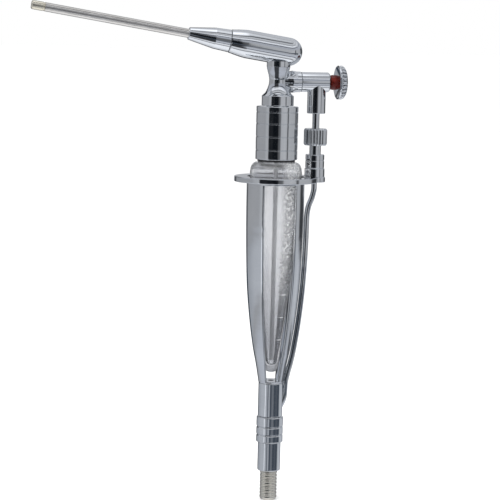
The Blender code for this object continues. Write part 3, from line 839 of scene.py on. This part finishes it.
def build_nozzle_nut():
    """Cone that starts with a short, nearly straight stretch."""
    rear, front = SEAM + 0.18, 44.25
    outline = [(0, rear), (5.15, rear, 0.1), (5.35, rear + 0.2, 0.1), (5.0, 31.6, 1.5), (4.9, 32.2, 1.5),
               (2.95, front - 0.25, 0.2), (2.7, front), (0, front)]
    turned("nozzle_nut", rounded(outline), chrome_head, HEAD)


def build_spray_tube():
    rear = 40.0
    outline = [(0, rear), (TUBE_RADIUS, rear), (TUBE_RADIUS, TUBE_END, 0.08), (0, TUBE_END)]
    turned("spray_tube", rounded(outline), nickel_tube, HEAD, steps=96)


def build_spray_tip():
    """Tip with a groove near its rear, a rounded nose and a fine way through."""
    rim, groove = 2.15, 1.9
    mouth, way = 0.5, 0.3
    rear, front = TUBE_END + 0.15, 119.2
    outline = [(mouth, rear), (rim, rear, 0.05), (rim, 113.1, 0.05), (groove, 113.2), (groove, 113.6),
               (rim, 113.7, 0.08), (rim, front - 0.6, 0.25), (1.7, front, 0.2), (mouth, front, 0.1),
               (mouth, 117.0), (way, 116.8), (way, rear)]
    turned("spray_tip", rounded(outline), brass, HEAD, steps=96)


# ---------------------------------------------------------------- valve and button

def build_valve():
    """Valve body with its chamber, its seat and a wider mouth."""
    radius, end = 4.7, high("valve_body").x
    start = 10.95
    chamber, seat, mouth = 3.4, 1.9, 3.85
    seat_start, seat_end, mouth_start = 15.4, 16.4, end - 4.6
    outline = [(chamber, start), (4.55, start, 0.1), (radius, start + 0.2, 0.1), (radius, end - 0.5, 0.25),
               (4.35, end, 0.1), (mouth, end, 0.1), (mouth, mouth_start), (chamber, mouth_start),
               (chamber, seat_end), (seat, seat_end), (seat, seat_start), (chamber, seat_start)]
    turned("valve_body", rounded(outline), chrome_valve, VALVE)


def build_stub():
    """Stub below the valve body. Its top follows a round that ends inside the body's wall."""
    radius, bottom = 4.4, low("valve_body").z
    height = VALVE_HEIGHT / MM
    bore, airway, bore_top = 2.0, 1.3, 191.7
    top_steps = 8
    outline = [(radius, bottom, 0.35), (bore, bottom, 0.1), (bore, bore_top), (airway, bore_top)]
    outline += [(radius * (0.3 + 0.7 * k / top_steps), height) for k in range(top_steps + 1)]
    stub = lathe("valve_stub_fine", rounded(outline), PIPE)
    for vertex in stub.data.vertices:
        if vertex.co.z > VALVE_HEIGHT - 0.3 * MM:
            drop = sqrt(max(0, radius ** 2 - (vertex.co.y / MM) ** 2))
            vertex.co.z -= drop * MM
    dress(stub, "valve_body", chrome_handle)


def build_colour_ring():
    """Coloured sleeve with a round belly, between the valve body and the button."""
    start, end = high("valve_body").x + 0.1, high("colour_ring").x
    bore = 1.8
    belly = curve([(2.9, start), (3.35, start + 0.7), (3.6, start + 2.1), (3.5, start + 3.6),
                   (3.15, end)], 6)
    outline = flat((bore, start)) + belly + flat((bore, end))
    turned("colour_ring", held(outline), red, VALVE)


def build_button():
    """Dished button with a scalloped rim."""
    rear, front, rim = low("push_button").x, high("push_button").x, high("push_button").y
    shank, shank_end, socket_floor = 1.5, high("colour_ring").x + 0.3, high("colour_ring").x + 1.4
    scallop_depth = 0.75

    def petals(r, height, angle):
        share = max(0, r - SCALLOP_ROOT) / (rim - SCALLOP_ROOT)
        ahead = min(1, max(0, height - SCALLOP_REAR) / 0.6)
        return r - scallop_depth * share * ahead * (1 - abs(cos(SCALLOPS / 2 * angle)))

    outline = [(0, front - 0.5), (2.6, front - 0.45, 1.2), (4.2, front - 0.12, 0.4),
               (6.4, front - 0.35, 0.5), (7.6, front - 1.1, 0.3), (rim, front - 1.9, 0.4),
               (rim, rear + 1.6, 0.2), (rim - 0.25, rear + 1.2, 0.1), (rim - 0.25, rear + 0.9, 0.1),
               (rim, rear + 0.7, 0.15), (rim - 0.1, rear + 0.25, 0.2), (7.5, rear, 0.3),
               (5.2, rear + 0.8, 1.0), (3.2, shank_end), (shank, shank_end), (shank, socket_floor),
               (0, socket_floor)]
    turned("push_button", rounded(outline), chrome_button, VALVE, steps=SCALLOPS * 10, shape=petals,
           sharp=50)


def dress_cad_nodes():
    """Every CAD node that still shows takes a procedural material by its slot."""
    for node, obj in frame["nodes"].items():
        obj.data.materials.clear()
        obj.data.materials.append(BY_SLOT[SLOT[node]])


# ---------------------------------------------------------------- light

CAMERA_AZIMUTH = -11.5
CAMERA_ELEVATION = 6.5

# What polished metal sees level with it, by the angle to the right of the camera, in degrees
UPPER_BANDS = ((-180, 0.46), (-160, 0.42), (-156, 0.10), (-144, 0.08), (-138, 0.34), (-100, 0.36),
               (-68, 0.36), (-60, 0.44), (-48, 0.46), (-45, 0.014), (-24, 0.016), (-20, 0.005), (5, 0.006),
               (9, 0.10), (18, 0.14), (23, 0.46), (45, 0.50), (56, 0.46), (60, 0.10), (64, 0.12),
               (68, 0.46), (112, 0.42), (122, 0.05), (150, 0.05), (156, 0.50), (180, 0.50))
# and a little below that
LOWER_BANDS = ((-180, 0.04), (-147, 0.04), (-140, 0.36), (-128, 0.36), (-90, 0.46), (-52, 0.48),
               (-50, 1.15), (-47, 1.15), (-45, 0.42), (-30, 0.38), (-26, 0.13), (-20, 0.15), (-16, 0.42),
               (-6, 0.36), (-2, 0.05), (6, 0.08), (20, 0.18), (30, 0.13), (37, 0.05), (60, 0.09),
               (86, 0.04), (93, 0.45), (125, 0.55), (150, 0.25), (180, 0.42))
# and well above and below, by height in degrees, in front of the metal
HIGH_BANDS = ((-90, 1.0), (-66, 0.95), (-62, 0.30), (-59, 0.10), (-56, 0.62), (-48, 0.80), (-43, 0.92),
              (-40, 0.14), (-37, 0.10), (-34, 0.56), (-20, 0.47), (20, 0.42), (25, 0.50), (27, 0.08),
              (31, 0.10), (33, 0.72), (42, 0.95), (45, 0.16), (48, 0.46), (58, 0.62), (61, 0.06),
              (65, 0.10), (68, 0.55), (76, 0.95), (80, 1.3), (90, 1.3))
# and behind it
PLAIN_BANDS = ((-90, 1.0), (-60, 0.70), (-30, 0.50), (20, 0.45), (50, 0.58), (76, 0.85), (80, 1.2),
               (90, 1.2))
# How much the dark opening round the camera, and the gap behind on the left, leave of them
OPENING = ((-180, 0.05), (-137, 0.05), (-130, 1.0), (-50, 1.0), (-42, 0.10), (2, 0.10), (10, 1.0),
           (180, 1.0))

# Limits between which one set of bands fades into the next, in degrees
LEVEL = -3.5  # the height from which the next two count
LEVEL_FADE = (14, 19)
OPENING_FADE = (34, 44)
LOWER_TOP_FADE = (-8.6, -7.4)
LOWER_FOOT_FADE = (-17, -14.5)
BEHIND_FADE = (0.17, 0.28)  # as a share of a full turn from straight ahead
BEHIND_MOST = 0.65  # share of the plain bands straight behind

SEEN_THROUGH = (0.54, 0.55, 0.57)  # even grey that is seen through glass
BANDS_THROUGH = 0.35  # share of the bands in what is seen through it
WHITE = (1.0, 1.0, 1.0)
SOFT_WHITE = (1.13, 1.13, 1.13)


def band_ramp(graph, position, bands, blue):
    """Ramp over degrees, whose greys are a little blue, the more so where they are dark."""
    start = bands[0][0]
    full = bands[-1][0] - start
    stops = [((degree - start) / full, (v * 0.98, v + blue * 0.4, v * 1.05 + blue)) for degree, v in bands]
    return graph.ramp(position, stops)


def fade(graph, value, low_end, high_end, limits):
    """Number that changes while an angle passes between two limits in degrees."""
    return graph.spread(value, low_end, high_end, radians(limits[0]), radians(limits[1]))


def reflected_bands(graph):
    """What polished metal sees, by the direction it looks in."""
    x, y, z = graph.split(graph.add("ShaderNodeTexCoord").outputs["Generated"])
    turned_by = graph.math("ARCTAN2", x, graph.math("MULTIPLY", y, -1.0))
    share = graph.math("ADD", graph.math("DIVIDE", turned_by, 2 * pi), 0.5 - CAMERA_AZIMUTH / 360)
    share = graph.math("FRACT", share)
    height = graph.math("ARCSINE", z)
    height_share = graph.math("ADD", graph.math("DIVIDE", height, pi), 0.5)
    away = graph.math("ABSOLUTE", graph.math("ADD", height, radians(-LEVEL)))

    upper = band_ramp(graph, share, UPPER_BANDS, 0.004)
    lower = band_ramp(graph, share, LOWER_BANDS, 0.03)
    lower_zone = graph.math("MULTIPLY", fade(graph, height, 1, 0, LOWER_TOP_FADE),
                            fade(graph, height, 0, 1, LOWER_FOOT_FADE))
    level = graph.mix(lower_zone, upper, lower)

    behind = graph.math("ABSOLUTE", graph.math("SUBTRACT", share, 0.5))
    front_rise = band_ramp(graph, height_share, HIGH_BANDS, 0.01)
    plain_rise = band_ramp(graph, height_share, PLAIN_BANDS, 0.01)
    rise = graph.mix(graph.spread(behind, 0, BEHIND_MOST, *BEHIND_FADE), front_rise, plain_rise)
    opening = band_ramp(graph, share, OPENING, 0.0)
    shaded = graph.mix(1.0, rise, opening, "MULTIPLY")
    rise = graph.mix(fade(graph, away, 0, 1, OPENING_FADE), shaded, rise)
    return graph.mix(fade(graph, away, 0, 1, LEVEL_FADE), level, rise)


def build_world():
    """Soft white surround, in which shiny metal sees dark and light bands, as in a photo tent."""
    world = bpy.data.worlds.new("surround")
    bpy.context.scene.world = world
    world.use_nodes = True
    graph = Graph(world.node_tree)
    background = world.node_tree.nodes["Background"]
    bands = reflected_bands(graph)
    path = graph.add("ShaderNodeLightPath").outputs
    through = graph.mix(BANDS_THROUGH, rgba(SEEN_THROUGH), bands)
    seen = graph.mix(path["Is Transmission Ray"], bands, through)
    soft = graph.mix(path["Is Diffuse Ray"], rgba(WHITE), rgba(SOFT_WHITE))
    graph.link(graph.mix(path["Is Glossy Ray"], soft, seen), background.inputs["Color"])
    background.inputs["Strength"].default_value = 1.0


def build_floor():
    """Pale floor, a little uneven in tone, that metal doesn't reflect because the surround does that."""
    sides = 64
    below = -0.0002
    bm = bmesh.new()
    rings = []
    for radius in (0.2, 1.0, 12.0):
        angles = [2 * pi * k / sides for k in range(sides)]
        rings.append([bm.verts.new((radius * cos(a), radius * sin(a), below)) for a in angles])
    bm.faces.new(rings[0])
    for one, two in zip(rings, rings[1:]):
        bridge(bm, one, two)
    floor = mesh_object("floor", bm)
    material, graph, bsdf = new_material("floor")
    even = graph.stretched(HANDLE)
    tone = graph.mix(graph.noise(even, 9, 4), rgba((0.90, 0.90, 0.90)), rgba((0.94, 0.94, 0.94)))
    graph.link(tone, bsdf.inputs["Base Color"])
    bsdf.inputs["Roughness"].default_value = 0.9
    bsdf.inputs["Specular IOR Level"].default_value = 0.0
    floor.data.materials.append(material)
    floor.visible_glossy = False


def towards(azimuth, elevation):
    """Direction from the gun to a camera or lamp, by its angles in degrees."""
    a, e = radians(azimuth), radians(elevation)
    return Vector((sin(a) * cos(e), -cos(a) * cos(e), sin(e)))


def area_light(name, azimuth, elevation, distance, size, watts):
    """Square lamp that looks at the gun's middle."""
    middle = Vector((0, 0, 0.12))
    light = bpy.data.lights.new(name, "AREA")
    light.size = size
    light.energy = watts
    obj = bpy.data.objects.new(name, light)
    out = towards(azimuth, elevation)
    obj.location = middle + out * distance
    obj.rotation_mode = "QUATERNION"
    obj.rotation_quaternion = out.to_track_quat("Z", "Y")
    obj.visible_glossy = False
    bpy.context.scene.collection.objects.link(obj)


# ---------------------------------------------------------------- camera

CAMERA_ROLL = radians(1.35)
CAMERA_DISTANCE = 1.0
LENS = 150
SENSOR = 36
CENTRE_HEIGHT = 0.12164  # the height on the handle's axis that lies level with the middle of the view
SIDE_SHIFT = 0.01152  # how far the handle's axis stands to the right of the middle


def build_camera():
    """Camera a metre away, rolled a little, with the gun's handle right of the middle."""
    back = towards(CAMERA_AZIMUTH, CAMERA_ELEVATION)
    right = Vector((cos(radians(CAMERA_AZIMUTH)), sin(radians(CAMERA_AZIMUTH)), 0))
    up = back.cross(right)
    rolled_right = right * cos(CAMERA_ROLL) + up * sin(CAMERA_ROLL)
    rolled_up = up * cos(CAMERA_ROLL) - right * sin(CAMERA_ROLL)
    data = bpy.data.cameras.new("camera")
    data.lens = LENS
    data.sensor_width = SENSOR
    data.clip_start = 0.05
    data.clip_end = 50
    camera = bpy.data.objects.new("camera", data)
    bpy.context.scene.collection.objects.link(camera)
    camera.rotation_mode = "QUATERNION"
    camera.rotation_quaternion = Matrix((rolled_right, rolled_up, back)).transposed().to_quaternion()
    middle = Vector((0, 0, CENTRE_HEIGHT))
    camera.location = middle - rolled_right * SIDE_SHIFT + back * CAMERA_DISTANCE
    bpy.context.scene.camera = camera


build_coupling()
build_hose_sleeve()
build_tail()
build_shell()
build_flange()
build_seat_ring()
build_stem()
build_air_tube()
build_union_fitting()
build_union_nut()
build_down_pipe()
build_bottle()
build_collar()
build_shoulder_ring()
build_dip_tube()
build_neck()
build_boss()
build_barrel()
build_nozzle_nut()
build_spray_tube()
build_spray_tip()
build_valve()
build_stub()
build_colour_ring()
build_button()
dress_cad_nodes()
build_world()
build_floor()
area_light("soft_key", azimuth=-50, elevation=50, distance=1.4, size=1.0, watts=9)
area_light("soft_fill", azimuth=60, elevation=35, distance=1.6, size=1.2, watts=5)
build_camera()
bpy.context.scene.view_settings.view_transform = "Standard"
bpy.context.scene.view_settings.look = "None"
